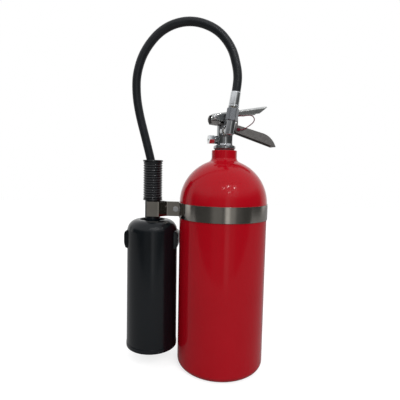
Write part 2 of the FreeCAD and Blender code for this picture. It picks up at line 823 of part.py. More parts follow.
def make_hose_end_parts():
    """Elbow out of the port, washer, hex hose nut, nipple and the ferrule crimped on the hose."""
    column = size("elbow_radius")
    spigot = size("spigot_radius")
    gap = size("elbow_offset") - size("port_reach")
    passage = size("hose_passage")
    nut_foot = size("nut_bottom")
    nut_top = size("nut_top")
    nipple = size("nipple_radius")
    flange_foot = nut_foot + 9.0
    flange_top = flange_foot + 3.0

    corner = size("elbow_corner")
    elbow = turned("discharge_elbow", [
        (0.0, -column), (column - corner, -column), (column, corner - column, SIZES["elbow_corner"], 1),
        (column, nut_foot - 0.5), (spigot, nut_foot - 0.5), (spigot, flange_foot), (0.0, flange_foot),
    ])
    sketch = new_sketch(elbow, "XZ", 1.0 - gap)
    draw_circle(sketch, column)
    pad(elbow, sketch, gap - 1.0)
    sketch = new_sketch(elbow, "XZ", 1.0 - gap)
    draw_circle(sketch, passage)
    pocket(elbow, sketch, gap - 1.0 + passage, back=True)
    sketch = new_sketch(elbow, "XY", 0.0)
    draw_circle(sketch, passage)
    pocket(elbow, sketch, flange_foot, back=True)

    washer = tube("elbow_washer", column, passage + 3.0, 0.0, 1.0)

    bore = spigot + 0.05
    nut = new_body("hose_nut")
    sketch = new_sketch(nut, "XY", nut_foot)
    draw_outline(sketch, swapped(hexagon(size("nut_flats"))))
    pad(nut, sketch, nut_top - nut_foot)
    sketch = new_sketch(nut, "XY", nut_foot)
    draw_circle(sketch, bore)
    pocket(nut, sketch, flange_top - nut_foot, back=True)
    sketch = new_sketch(nut, "XY", nut_foot)
    draw_circle(sketch, nipple + 1.0)
    pocket(nut, sketch, nut_top - nut_foot, back=True)
    rim = size("nut_flats") / 2
    groove(nut, [(rim - 0.5, nut_top + 1.0), (rim + 5.0, nut_top + 1.0), (rim + 5.0, nut_top - 3.4)])
    groove(nut, [(rim - 0.5, nut_foot - 1.0), (rim + 5.0, nut_foot + 3.4), (rim + 5.0, nut_foot - 1.0)])

    ferrule_foot = size("ferrule_bottom")
    ferrule_top = ferrule_foot + size("ferrule_length")
    inner = size("nipple_bore")
    nipple_body = turned("upper_nipple", [
        (inner, flange_foot), (bore - 0.1, flange_foot), (bore - 0.1, flange_top), (nipple, flange_top),
        (nipple, ferrule_top - 6.0), (inner, ferrule_top - 6.0),
    ])
    crimp = size("crimp_radius") + 0.05
    ferrule = turned("upper_ferrule", [
        (nipple, ferrule_foot), (size("ferrule_base_radius") - 0.8, ferrule_foot),
        (size("ferrule_base_radius"), ferrule_foot + 0.8), (size("ferrule_top_radius"), ferrule_top - 0.6),
        (size("ferrule_top_radius") - 0.6, ferrule_top), (crimp, ferrule_top), (crimp, ferrule_foot + 3.0),
        (nipple, ferrule_foot + 3.0),
    ])
    place = hose_end_place()
    set_place((elbow, nipple_body, ferrule), place)
    nut.Placement = place * Placement(Vector(), Rotation(Vector(0, 0, 1), size("nut_turn").value))
    washer.Placement = place * Placement(Vector(0, gap.value - 1.0, 0), Rotation(Vector(1, 0, 0), -90))


def valve_lift():
    """How far the neck's top stands above the height that the routes are laid for."""
    return size("neck_top").value - ROUTE_NECK_TOP


def shifted_hose_route():
    """The hose's points, moved with the valve at the first one and with the grip at the last."""
    grip_lift = size("grip_bottom").value - ROUTE_GRIP_FOOT
    horn_shift = size("horn_x").value - ROUTE_HORN_X
    points = []
    for index, (x, y, z) in enumerate(HOSE_ROUTE):
        share = min(1.0, index / (len(HOSE_ROUTE) - 2))
        lift = valve_lift() * (1 - share) + grip_lift * share
        points.append(Vector(x + horn_shift * share, y, z + lift))
    return points


def rounded_path(points, report):
    """A wire of straight runs joined by arcs as large as the runs beside them allow."""
    edges = []
    start = points[0]
    for before, corner, after in zip(points, points[1:], points[2:]):
        into = corner - before
        out = after - corner
        half_turn = into.getAngle(out) / 2
        back = 0.45 * min(into.Length, out.Length)
        if report:
            print(f"{report}: turn {math.degrees(half_turn) * 2:5.1f}, radius {back / math.tan(half_turn):7.1f}")
        into.normalize()
        out.normalize()
        first = corner - into * back
        last = corner + out * back
        bisector = (out - into).normalize()
        middle = corner + bisector * corner_cut(back, half_turn)
        edges.append(Part.LineSegment(start, first).toShape())
        edges.append(Part.Arc(first, middle, last).toShape())
        start = last
    edges.append(Part.LineSegment(start, points[-1]).toShape())
    return Part.Wire(edges)


def corner_cut(back, half_turn):
    """Distance from a corner to the nearest point of the arc that rounds it."""
    radius = back / math.tan(half_turn)
    return radius / math.cos(half_turn) - radius


def pipe(wire, radius):
    """A solid rod along a wire."""
    start = wire.Edges[0]
    profile = Part.Circle(start.valueAt(start.FirstParameter), start.tangentAt(start.FirstParameter), radius)
    section = Part.Wire([profile.toShape()])
    rod = wire.makePipeShell([section], True, False)
    expected = math.pi * radius ** 2 * wire.Length
    if abs(rod.Volume - expected) > 0.01 * expected:
        raise ValueError("a tube's volume isn't its section times its length")
    return rod


def add_shape(label, shape):
    item = doc.addObject("Part::Feature", label)
    item.Shape = shape
    PARTS.append(item)
    return item


def make_hose():
    """The hose: a hollow tube along its route, thinned where each ferrule is crimped on it."""
    place = hose_end_place()
    ferrule_top = size("ferrule_bottom").value + size("ferrule_length").value
    exit_point = place.multVec(Vector(0, 0, ferrule_top))
    straight_end = place.multVec(Vector(0, 0, ferrule_top + HOSE_START))
    points = [exit_point, straight_end] + shifted_hose_route()
    print(f"hose leaves the ferrule at {exit_point} and bends after {straight_end}")
    wire = rounded_path(points, "hose")
    radius = size("hose_radius").value
    bore = size("hose_bore").value
    crimp = size("crimp_radius").value
    depth = size("ferrule_length").value - 3.0
    upper_tail = Part.makeCylinder(crimp, depth, Vector(0, 0, ferrule_top - depth))
    upper_hole = Part.makeCylinder(bore, depth, Vector(0, 0, ferrule_top - depth))
    end = points[-1]
    lower_depth = end.z - size("lower_ferrule_bottom").value - 4.0
    lower_foot = end - Vector(0, 0, lower_depth)
    solid = pipe(wire, radius)
    hole = pipe(wire, bore)
    for tail, place_of_tail in ((upper_tail, place), (Part.makeCylinder(crimp, lower_depth, lower_foot), None)):
        if place_of_tail:
            tail.Placement = place_of_tail
        solid = solid.fuse(tail)
    upper_hole.Placement = place
    solid = solid.cut(hole).cut(upper_hole).cut(Part.makeCylinder(bore, lower_depth, lower_foot))
    print(f"hose: {wire.Length:.1f} mm between the ferrules")
    add_shape("hose", solid.removeSplitter())


def make_tamper_seal():
    """The thin seal that loops through the pin's tip and back to its lock on the carry handle."""
    place = head_place()
    points = [place.multVec(Vector(x, y, z + valve_lift())) for x, y, z in SEAL_ROUTE]
    wire = rounded_path(points, "seal")
    print(f"seal: {wire.Length:.1f} mm")
    add_shape("tamper_seal", pipe(wire, size("seal_cord_radius").value))


def make_seal_lock():
    """The small lock that the seal's end is pushed into, against the carry handle's wall."""
    body = new_body("seal_lock")
    sketch = new_sketch(body, "XZ", size("handle_width") / 2)
    end_x, _, end_z = SEAL_ROUTE[-1]
    end_z += valve_lift()
    draw_outline(sketch, [
        (end_x - 6.0, end_z - 2.2), (end_x, end_z - 2.2), (end_x, end_z + 3.0), (end_x - 6.0, end_z + 3.0),
    ])
    pad(body, sketch, 3.6)
    body.Placement = head_place()


# ---- band and fork ------------------------------------------------------------------------------

def make_horn_band():
    """A strip round the cylinder: its ends meet as ears, then open into a fork for the horn's neck."""
    foot = size("band_bottom")
    height = size("band_top") - foot
    strip = size("band_sheet")
    inner = size("cylinder_radius") + size("band_clearance")
    outer = inner + strip
    ear = size("ear_gap") / 2
    prong = size("coupling_radius") + size("fork_clearance")
    spread = prong - ear
    ear_end = size("ear_end")
    prong_start = ear_end - spread
    tip = size("prong_end")
    shift = strip * MITRE
    body = new_body("horn_band")
    sketch = new_sketch(body, "XY", foot)
    draw_circle(sketch, outer)
    draw_circle(sketch, inner)
    pad(body, sketch, height)
    sketch = new_sketch(body, "XY", foot)
    draw_outline(sketch, [(-outer - 5.0, -ear), (-outer + 5.0, -ear), (-outer + 5.0, ear), (-outer - 5.0, ear)])
    pocket(body, sketch, height, back=True)
    root = -outer + 0.4
    for side in (1.0, -1.0):
        sketch = new_sketch(body, "XY", foot)
        draw_outline(sketch, [
            (root, ear * side), (root, (ear + strip) * side), (ear_end + shift, (ear + strip) * side),
            (prong_start + shift, (prong + strip) * side), (tip, (prong + strip) * side), (tip, prong * side),
            (prong_start, prong * side), (ear_end, ear * side),
        ])
        pad(body, sketch, height)
    fillet(body, 4.0, upright_edge(ear_end, ear))
    fillet(body, 2.5, upright_edge(ear_end + shift, ear + strip))
    fillet(body, 2.5, upright_edge(prong_start, prong))
    fillet(body, 4.0, upright_edge(prong_start + shift, prong + strip))
    sketch = new_sketch(body, "XZ")
    draw_circle(sketch, size("bolt_radius") + 0.3, size("bolt_x"), (size("band_bottom") + size("band_top")) / 2)
    pocket(body, sketch, 40.0, middle=True)


def make_band_bolt():
    """Bolt, two washers and a nut that clamp the band's ears; their axis runs along -y."""
    ear = size("ear_gap") / 2 + size("band_sheet")
    radius = size("bolt_radius")
    washer = 1.0
    head_foot = ear + washer
    bolt = tube("band_bolt", radius, 0.0, -ear - washer - 6.5, head_foot + 1.0)
    sketch = new_sketch(bolt, "XY", head_foot)
    draw_outline(sketch, hexagon(size("bolt_flats")))
    pad(bolt, sketch, 4.0)
    nut = new_body("band_nut")
    sketch = new_sketch(nut, "XY", -ear - washer - 5.0)
    draw_outline(sketch, hexagon(size("bolt_flats")))
    pad(nut, sketch, 5.0)
    sketch = new_sketch(nut, "XY", -ear - washer - 5.0)
    draw_circle(sketch, radius)
    pocket(nut, sketch, 5.0, back=True)
    washers = doc.addObject("Part::Compound", "band_washers")
    washers.Links = [loose_washer("washer_front", ear), loose_washer("washer_back", -ear - washer)]
    PARTS.append(washers)
    middle = (size("band_bottom").value + size("band_top").value) / 2
    place = Placement(Vector(size("bolt_x").value, 0, middle), Rotation(Vector(1, 0, 0), 90))
    set_place((bolt, nut, washers), place)


def loose_washer(name, foot):
    """A plain washer, one millimetre thick, standing on `foot`."""
    plate = doc.addObject("Part::Cylinder", f"{name}_plate")
    bind(plate, Radius=size("bolt_flats") / 2 + 0.6, Height=1.0)
    hole = doc.addObject("Part::Cylinder", f"{name}_hole")
    bind(hole, Radius=size("bolt_radius"), Height=1.0)
    washer = doc.addObject("Part::Cut", name)
    washer.Base = plate
    washer.Tool = hole
    washer.Placement = Placement(Vector(0, 0, foot.value), Rotation())
    washer.setExpression("Placement.Base.z", foot.text)
    return washer


# ---- horn and grip ------------------------------------------------------------------------------

def at_horn(*bodies):
    for body in bodies:
        body.Placement = Placement(Vector(size("horn_x").value, 0, 0), Rotation())
        body.setExpression("Placement.Base.x", size("horn_x").text)


def make_horn():
    """A wide moulded shell, open at the bottom, with a rounded shoulder, a sunken crown and two side lugs."""
    mouth = size("horn_mouth")
    low = size("horn_bottom_radius")
    high = size("horn_top_radius")
    wall = size("horn_wall")
    crown = size("horn_crown")
    crown_radius = size("crown_radius")
    recess = size("recess_radius")
    floor = size("recess_floor")
    drop = size("shoulder_drop")
    hole = horn_hole()
    shoulder_z = crown - drop
    ceiling = floor - 3.5
    body = new_body("horn")
    revolve(body, [
        (low - wall, mouth), (low + 0.5, mouth), (low + 0.5, mouth + 8.0), (low - 0.1, mouth + 9.5),
        (high, shoulder_z), (crown_radius, crown, drop + 0.3, 1), (recess + 1.0, crown), (recess, floor + 1.0),
        (recess - 1.0, floor), (hole, floor), (hole, ceiling), (crown_radius, ceiling),
        (high - wall, shoulder_z - 4.0, drop - wall, -1),
    ])
    lug = size("lug_width")
    reach = size("lug_reach")
    top = size("lug_top")
    bottom = size("lug_bottom")
    for side in (1.0, -1.0):
        inside = (high - 6.0) * side
        face = (low + reach) * side
        sketch = new_sketch(body, "XZ")
        draw_outline(sketch, [
            (inside, bottom), (face - 3.4 * side, bottom), (face, bottom + 12.0), (face, top - 14.0),
            (face - 2.0 * side, top - 5.0), (inside, top - 5.0),
        ])
        pad(body, sketch, lug, middle=True)
    sketch = new_sketch(body, "XY", mouth)
    draw_circle(sketch, high - wall)
    pocket(body, sketch, shoulder_z - 4.0 - mouth, back=True)
    at_horn(body)


def horn_hole():
    """Radius of the hole in the horn's crown that the coupling's thread goes through."""
    return size("coupling_radius") - 4.5


def make_coupling_parts():
    """The coupling above the horn, the nut that holds the horn on it, the orifice and the hose end."""
    outer = size("coupling_radius")
    floor = size("recess_floor")
    grip_foot = size("grip_bottom")
    thread = horn_hole() - 0.05
    bore = as_size(6.0)
    thread_foot = floor - 16.0
    spigot = outer - 2.7
    ferrule_foot = size("lower_ferrule_bottom")
    ferrule_top = size("lower_ferrule_top")
    coupling = turned("horn_coupling", [
        (bore, thread_foot), (thread, thread_foot), (thread, floor), (outer - 0.6, floor), (outer, floor + 0.6),
        (outer, grip_foot), (spigot, grip_foot), (spigot, grip_foot + 10.0), (bore, grip_foot + 10.0),
    ])
    nut = new_body("horn_nut")
    nut_top = floor - 3.5
    sketch = new_sketch(nut, "XY", nut_top - 7.0)
    draw_outline(sketch, hexagon(thread * 2 + 10.0))
    pad(nut, sketch, 7.0)
    sketch = new_sketch(nut, "XY", nut_top - 7.0)
    draw_circle(sketch, thread)
    pocket(nut, sketch, 7.0, back=True)
    orifice = turned("orifice", [
        (1.6, thread_foot - 6.0), (9.0, thread_foot - 6.0), (9.0, thread_foot), (bore - 0.05, thread_foot),
        (bore - 0.05, thread_foot + 8.0), (1.6, thread_foot + 8.0),
    ])
    nipple = turned("lower_nipple", [
        (2.6, grip_foot), (bore - 0.05, grip_foot), (bore - 0.05, grip_foot + 10.0), (7.0, grip_foot + 10.0),
        (7.0, ferrule_foot), (4.4, ferrule_foot), (4.4, ferrule_top - 3.0), (2.6, ferrule_top - 3.0),
    ])
    outside = size("lower_ferrule_radius")
    ferrule = turned("lower_ferrule", [
        (4.4, ferrule_foot), (outside, ferrule_foot), (outside, ferrule_top - 0.3),
        (size("crimp_radius") + 0.3, ferrule_top - 0.3), (size("crimp_radius") + 0.3, ferrule_foot + 3.7),
        (4.4, ferrule_foot + 3.7),
    ])
    at_horn(coupling, nut, orifice, nipple, ferrule)


def make_grip():
    """A ribbed sleeve round the hose end, with a flange at its top and a snug bore at its foot."""
    foot = size("grip_bottom")
    top = size("grip_top")
    rib = size("rib_radius")
    root = size("rib_root")
    flange = size("flange_radius")
    flange_foot = top - size("flange_height")
    bore = size("grip_bore")
    snug = size("coupling_radius") - 2.65
    count = int(size("rib_count").value)
    ribbed_foot = foot + 4.0
    pitch = (flange_foot - ribbed_foot) / count
    outline = [(snug, foot), (rib, foot), (rib, ribbed_foot)]
    for index in range(count):
        low = ribbed_foot + pitch * index
        outline += [(root, low + pitch * 0.15), (root, low + pitch * 0.45)]
        if index < count - 1:
            outline += [(rib, low + pitch * 0.62), (rib, low + pitch)]
    outline += [
        (flange, low + pitch * 0.8), (flange, top - 0.8), (flange - 0.8, top), (bore + 0.8, top),
        (bore, top - 0.8), (bore, foot + 13.0), (snug, foot + 10.5),
    ]
    at_horn(turned("grip", outline))


# ---- the whole ----------------------------------------------------------------------------------

def check_document():
    """Every object must have recomputed, and every part must be a valid solid."""
    for item in doc.Objects:
        if "Invalid" in item.State or "Error" in item.State:
            raise ValueError(f"{item.Name} is {item.State}")
    for part in PARTS:
        if part.Shape.isNull() or not part.Shape.isValid() or not part.Shape.Solids:
            raise ValueError(f"{part.Label} isn't a valid solid")


def write_parts():
    os.makedirs("parts", exist_ok=True)
    for part in PARTS:
        part.Shape.exportStep(f"parts/{part.Label}.step")
        print(f"{part.Label:20s} {part.Shape.Volume / 1000:10.2f} cm3, {len(part.Shape.Solids)} solid(s)")


fill_sheet()
make_cylinder()
make_valve_body()
make_neck_seal()
make_siphon_tube()
make_stem_parts()
make_valve_spring()
make_burst_disc()
make_carry_handle()
make_squeeze_lever()
make_lever_rivet()
make_pull_pin()
make_pull_ring()
make_hose_end_parts()
make_hose()
make_tamper_seal()
make_seal_lock()
make_horn_band()
make_band_bolt()
make_horn()
make_coupling_parts()
make_grip()
doc.recompute()
check_document()
write_parts()
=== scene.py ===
import json
import math

import bmesh
import bpy
import numpy as np
from mathutils import Matrix, Vector


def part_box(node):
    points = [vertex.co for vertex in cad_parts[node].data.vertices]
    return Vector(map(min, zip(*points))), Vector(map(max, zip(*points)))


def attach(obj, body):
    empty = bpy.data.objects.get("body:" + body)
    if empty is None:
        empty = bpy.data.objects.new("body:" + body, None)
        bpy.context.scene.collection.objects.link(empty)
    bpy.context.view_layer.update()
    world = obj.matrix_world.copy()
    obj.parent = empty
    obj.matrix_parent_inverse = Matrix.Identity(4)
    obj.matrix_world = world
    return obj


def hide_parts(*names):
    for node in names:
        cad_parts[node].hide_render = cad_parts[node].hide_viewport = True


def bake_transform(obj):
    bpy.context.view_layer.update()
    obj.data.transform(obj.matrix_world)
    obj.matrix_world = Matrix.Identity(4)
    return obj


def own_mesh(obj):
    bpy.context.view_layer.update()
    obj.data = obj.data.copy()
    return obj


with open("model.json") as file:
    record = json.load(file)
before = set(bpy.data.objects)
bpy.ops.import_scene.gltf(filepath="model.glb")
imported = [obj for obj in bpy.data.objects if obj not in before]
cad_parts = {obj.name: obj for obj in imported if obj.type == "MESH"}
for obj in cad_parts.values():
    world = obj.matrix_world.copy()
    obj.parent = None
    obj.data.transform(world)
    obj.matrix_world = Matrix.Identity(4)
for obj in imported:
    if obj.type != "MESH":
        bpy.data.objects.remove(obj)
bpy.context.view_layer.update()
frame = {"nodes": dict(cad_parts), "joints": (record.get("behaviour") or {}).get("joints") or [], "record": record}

nodes = frame["nodes"]
print("frame loaded:", len(nodes), "nodes")


def boxOf(node):
    low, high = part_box(node)
    return np.array(low), np.array(high)


def middleOf(node):
    low, high = boxOf(node)
    return (low + high) / 2


shellHigh = boxOf("cylinder")[1]
shellRadius = float(shellHigh[0])                 # the cylinder stands on the origin
hornAxis = float(middleOf("horn")[0])             # x of the horn's upright axis
joints = {joint["name"]: joint for joint in frame["joints"]}
acrossHead = Vector(joints["lever_squeeze"]["axis"])
headTurn = math.atan2(-acrossHead.x, acrossHead.y)   # the valve head is turned about z
headPlace = Matrix.Rotation(headTurn, 4, "Z")


view = {"place": (-0.01472, -0.73633, 0.40824), "turn": 2.546, "down": 5.027, "roll": 1.166, "lens": 32.31}


def makeCamera():
    camera = bpy.data.objects.new("camera", bpy.data.cameras.new("camera"))
    camera.data.lens = view["lens"]
    camera.data.sensor_width = 36
    camera.data.clip_start = 0.01
    turn = Matrix.Rotation(math.radians(view["turn"]), 4, "Z")
    tilt = Matrix.Rotation(math.radians(90 - view["down"]), 4, "X")
    roll = Matrix.Rotation(math.radians(view["roll"]), 4, "Z")
    camera.matrix_world = Matrix.Translation(view["place"]) @ turn @ tilt @ roll
    bpy.context.scene.collection.objects.link(camera)
    bpy.context.scene.camera = camera
    bpy.context.scene.view_settings.view_transform = "Standard"   # white stays white beside dark pieces


makeCamera()
print("camera set")


def surface(name, grid, aroundClosed=True, alongClosed=False):
    # point (i, j) of the grid joined to (i + 1, j), (i, j + 1) and (i + 1, j + 1); u runs around and v along
    rows, columns = grid.shape[:2]
    number = np.arange(rows * columns).reshape(rows, columns)
    if alongClosed:
        number = np.vstack([number, number[:1]])
    if aroundClosed:
        number = np.hstack([number, number[:, :1]])
    faces = np.stack([number[:-1, :-1], number[:-1, 1:], number[1:, 1:], number[1:, :-1]], axis=-1)
    high, wide = faces.shape[:2]
    mesh = bpy.data.meshes.new(name)
    mesh.from_pydata(grid.reshape(-1, 3).tolist(), [], faces.reshape(-1, 4).tolist())
    layer = mesh.uv_layers.new(name="surfaceMap")
    u, v = np.meshgrid(np.arange(wide), np.arange(high))
    corners = np.stack([u, v, u + 1, v, u + 1, v + 1, u, v + 1], axis=-1).astype(np.float32)
    corners[..., 0::2] /= wide
    corners[..., 1::2] /= high
    layer.data.foreach_set("uv", corners.ravel())
    return mesh


def closeUp(mesh, sharpAngle):
    # merges the poles, turns every face outwards and keeps edges sharper than the angle crisp
    work = bmesh.new()
    work.from_mesh(mesh)
    bmesh.ops.remove_doubles(work, verts=work.verts, dist=1e-7)
    bmesh.ops.recalc_face_normals(work, faces=work.faces)
    work.to_mesh(mesh)
    work.free()
    mesh.polygons.foreach_set("use_smooth", np.ones(len(mesh.polygons), bool))
    mesh.set_sharp_from_angle(angle=math.radians(sharpAngle))


def addPiece(name, mesh, material, body, standsFor=(), place=None):
    if place is not None:
        mesh.transform(place)
    piece = bpy.data.objects.new(name, mesh)
    bpy.context.scene.collection.objects.link(piece)
    mesh.materials.append(material)
    if body:
        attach(piece, body)
    if standsFor:
        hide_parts(*standsFor)
    return piece


def rounded(corners, steps=7):
    # a profile of (radius, height, rounding) corners; each rounding is an arc that meets both runs
    points = []
    flat = [np.array(corner[:2], float) for corner in corners]
    for index, corner in enumerate(corners):
        here = flat[index]
        radius = corner[2] if len(corner) > 2 else 0.0
        before = flat[index - 1] - here
        after = flat[(index + 1) % len(flat)] - here
        shortBefore, shortAfter = np.linalg.norm(before), np.linalg.norm(after)
        if radius <= 0 or shortBefore == 0 or shortAfter == 0:
            points.append(here[None])
            continue
        before, after = before / shortBefore, after / shortAfter
        half = math.acos(float(np.clip(before @ after, -1, 1))) / 2
        back = min(radius / math.tan(half), 0.499 * shortBefore, 0.499 * shortAfter)
        radius = back * math.tan(half)
        centre = here + (before + after) / np.linalg.norm(before + after) * radius / math.sin(half)
        start, end = here + before * back - centre, here + after * back - centre
        swing = math.atan2(start[0] * end[1] - start[1] * end[0], float(start @ end))
        angle = np.linspace(0, swing, steps)[:, None]
        normal = np.array([-start[1], start[0]])
        points.append(centre + start * np.cos(angle) + normal * np.sin(angle))
    return np.vstack(points)


def divided(profile, step):
    # the same profile with points at most one step apart
    pieces = []
    for start, end in zip(profile, profile[1:]):
        count = max(1, int(np.linalg.norm(end - start) / step))
        pieces.append(start + (end - start) * np.linspace(0, 1, count, endpoint=False)[:, None])
    return np.vstack(pieces + [profile[-1:]])


def turnedGrid(profile, columns):
    # radius and height carried round the z axis: x = r cos a, y = r sin a
    angle = np.linspace(0, 2 * math.pi, columns, endpoint=False)
    radius, height = profile[:, 0:1], profile[:, 1:2]
    return np.stack([radius * np.cos(angle), radius * np.sin(angle), height + angle * 0], axis=-1)


def turned(name, corners, material, body, standsFor=(), place=None, columns=96):
    # a closed profile carried once round
    mesh = surface(name, turnedGrid(rounded(corners), columns), alongClosed=True)
    closeUp(mesh, 50)
    return addPiece(name, mesh, material, body, standsFor, place)


def hexRadius(angle, flats, sharpness=46):
    # distance to six flats taken together by a high power mean, so that the corners are a little worn
    facing = np.arange(6) * math.pi / 3
    reach = np.clip(np.cos(angle[..., None] - facing), 0, 1) ** sharpness
    return flats / 2 * reach.sum(axis=-1) ** (-1 / sharpness)


def hexPiece(name, flats, bottom, top, bore, material, body, standsFor=(), place=None, bevel=0.0009):
    # the hexagon's radius is held inside a cone at each end, which leaves the curved corners of a turned nut
    angle = np.linspace(0, 2 * math.pi, 144, endpoint=False)
    height = np.concatenate([
        np.linspace(bottom, bottom + bevel * 3, 9), np.linspace(bottom + bevel * 3, top - bevel * 3, 6)[1:-1],
        np.linspace(top - bevel * 3, top, 9),
    ])
    edge = np.minimum(height - bottom, top - height)[:, None]
    cone = flats / 2 - bevel * 0.6 + edge * 1.9
    outside = np.minimum(hexRadius(angle, flats)[None], cone)
    inside = np.full((2, len(angle)), bore)
    radius = np.vstack([inside[:1], outside, inside[1:]])
    level = np.concatenate([[bottom], height, [top]])[:, None]
    grid = np.stack([radius * np.cos(angle), radius * np.sin(angle), level + angle * 0], axis=-1)
    mesh = surface(name, grid, alongClosed=True)
    closeUp(mesh, 28)
    return addPiece(name, mesh, material, body, standsFor, place)


class Nodes:
    # a small helper that adds nodes to one material and links them
    def __init__(self, name, colour, metallic=0.0, roughness=0.5):
        self.material = bpy.data.materials.new(name)
        self.material.use_nodes = True
        self.tree = self.material.node_tree
        self.shader = self.tree.nodes["Principled BSDF"]
        self.shader.inputs["Base Color"].default_value = (*colour, 1)
        self.shader.inputs["Metallic"].default_value = metallic
        self.shader.inputs["Roughness"].default_value = roughness

    def add(self, kind, **settings):
        node = self.tree.nodes.new(kind)
        for key, value in settings.items():
            if hasattr(node, key):
                setattr(node, key, value)
            else:
                node.inputs[key.replace("_", " ")].default_value = value
        return node

    def link(self, start, end):
        self.tree.links.new(start, end)

    def noise(self, scale, detail=3.0, stretch=(1, 1, 1), useMap=False):
        # noise on the piece's own place, or on its surface map
        where = self.add("ShaderNodeTexCoord")
        mapping = self.add("ShaderNodeMapping")
        mapping.inputs["Scale"].default_value = stretch
        self.link(where.outputs["UV" if useMap else "Object"], mapping.inputs["Vector"])
        texture = self.add("ShaderNodeTexNoise", Scale=scale, Detail=detail)
        self.link(mapping.outputs["Vector"], texture.inputs["Vector"])
        return texture.outputs["Fac"]

    def spread(self, value, low, high, start=0.3, end=0.7):
        remap = self.add("ShaderNodeMapRange")
        remap.inputs["From Min"].default_value = start
        remap.inputs["From Max"].default_value = end
        remap.inputs["To Min"].default_value = low
        remap.inputs["To Max"].default_value = high
        self.link(value, remap.inputs["Value"])
        return remap.outputs["Result"]

    def blendColours(self, value, first, second):
        mix = self.add("ShaderNodeMix", data_type="RGBA")
        mix.inputs["A"].default_value = (*first, 1)
        mix.inputs["B"].default_value = (*second, 1)
        self.link(value, mix.inputs["Factor"])
        return mix.outputs["Result"]

    def bump(self, value, strength, distance, after=None):
        bump = self.add("ShaderNodeBump", Strength=strength, Distance=distance)
        self.link(value, bump.inputs["Height"])
        if after is not None:
            self.link(after.outputs["Normal"], bump.inputs["Normal"])
        self.link(bump.outputs["Normal"], self.shader.inputs["Normal"])
        return bump

    def edges(self, radius):
        # softens the sharp edges of pieces that keep their plain mesh
        return self.add("ShaderNodeBevel", samples=4, Radius=radius)


def coarse(colour, factor):
    return tuple(min(1.0, part * factor) for part in colour)


def makePaint():
    n = Nodes("redEnamel", (0.27, 0.0016, 0.006), 0.0, 0.16)
    patch = n.spread(n.noise(9.0, 4.0), 0.0, 1.0)
    colour = n.blendColours(patch, (0.26, 0.0014, 0.0055), (0.285, 0.0019, 0.0070))
    n.link(colour, n.shader.inputs["Base Color"])
    n.link(n.spread(n.noise(40.0, 5.0), 0.11, 0.22), n.shader.inputs["Roughness"])
    n.shader.inputs["Specular IOR Level"].default_value = 0.12
    n.shader.inputs["Coat Weight"].default_value = 0.12
    n.shader.inputs["Coat Roughness"].default_value = 0.06
    n.bump(n.noise(420.0, 2.0), 0.05, 0.0004)
    return n.material


def makeMetal(name, colour, roughness, grain=500.0, stretch=(1, 1, 1), worn=0.12, relief=0.08, edge=0.0):
    # metal with a broad change of tone, a finer change of polish and a grain that can run one way
    n = Nodes(name, colour, 1.0, roughness)
    tone = n.spread(n.noise(70.0, 5.0), 0.0, 1.0)
    mottled = n.blendColours(tone, coarse(colour, 1 - worn), coarse(colour, 1 + worn))
    n.link(mottled, n.shader.inputs["Base Color"])
    polish = n.noise(grain, 3.0, stretch)
    n.link(n.spread(polish, roughness * 0.75, roughness * 1.3), n.shader.inputs["Roughness"])
    softened = n.edges(edge) if edge else None
    n.bump(polish, relief, 0.0002, softened)
    return n.material


def makeSpeckled(name, dark, light, roughness, metallic):
    # dull zinc plating: fine speckle over a slow change of tone
    n = Nodes(name, dark, metallic, roughness)
    fine = n.spread(n.noise(900.0, 2.0), 0.0, 1.0, 0.35, 0.65)
    n.link(n.blendColours(fine, dark, light), n.shader.inputs["Base Color"])
    n.link(n.spread(n.noise(120.0, 4.0), roughness * 0.85, roughness * 1.2), n.shader.inputs["Roughness"])
    n.bump(n.noise(700.0, 3.0), 0.25, 0.0002, n.edges(0.0004))
    return n.material


def makePlastic(name, colour, roughness, grain=650.0, relief=0.15, tint=0.35, shine=0.5):
    # moulded plastic or rubber with a fine leathery skin and a slightly dusty bloom
    n = Nodes(name, colour, 0.0, roughness)
    bloom = n.spread(n.noise(22.0, 6.0), 0.0, 1.0)
    n.link(n.blendColours(bloom, colour, coarse(colour, 1 + tint)), n.shader.inputs["Base Color"])
    n.link(n.spread(n.noise(60.0, 5.0), roughness * 0.85, roughness * 1.15), n.shader.inputs["Roughness"])
    n.shader.inputs["Specular IOR Level"].default_value = shine
    n.bump(n.noise(grain, 3.0), relief, 0.0002)
    return n.material


def makeHoseRubber():
    # the hose's cover keeps a faint weave from the cloth it was cured in: it follows the surface map
    n = Nodes("hoseRubber", (0.004, 0.005, 0.006), 0.0, 0.38)
    n.shader.inputs["Specular IOR Level"].default_value = 0.3
    bloom = n.spread(n.noise(30.0, 5.0), 0.0, 1.0)
    n.link(n.blendColours(bloom, (0.003, 0.004, 0.005), (0.006, 0.007, 0.009)), n.shader.inputs["Base Color"])
    n.link(n.spread(n.noise(80.0, 4.0), 0.32, 0.46), n.shader.inputs["Roughness"])
    n.bump(n.noise(60.0, 3.0, (3.0, 40.0, 1.0), useMap=True), 0.04, 0.0002)
    return n.material


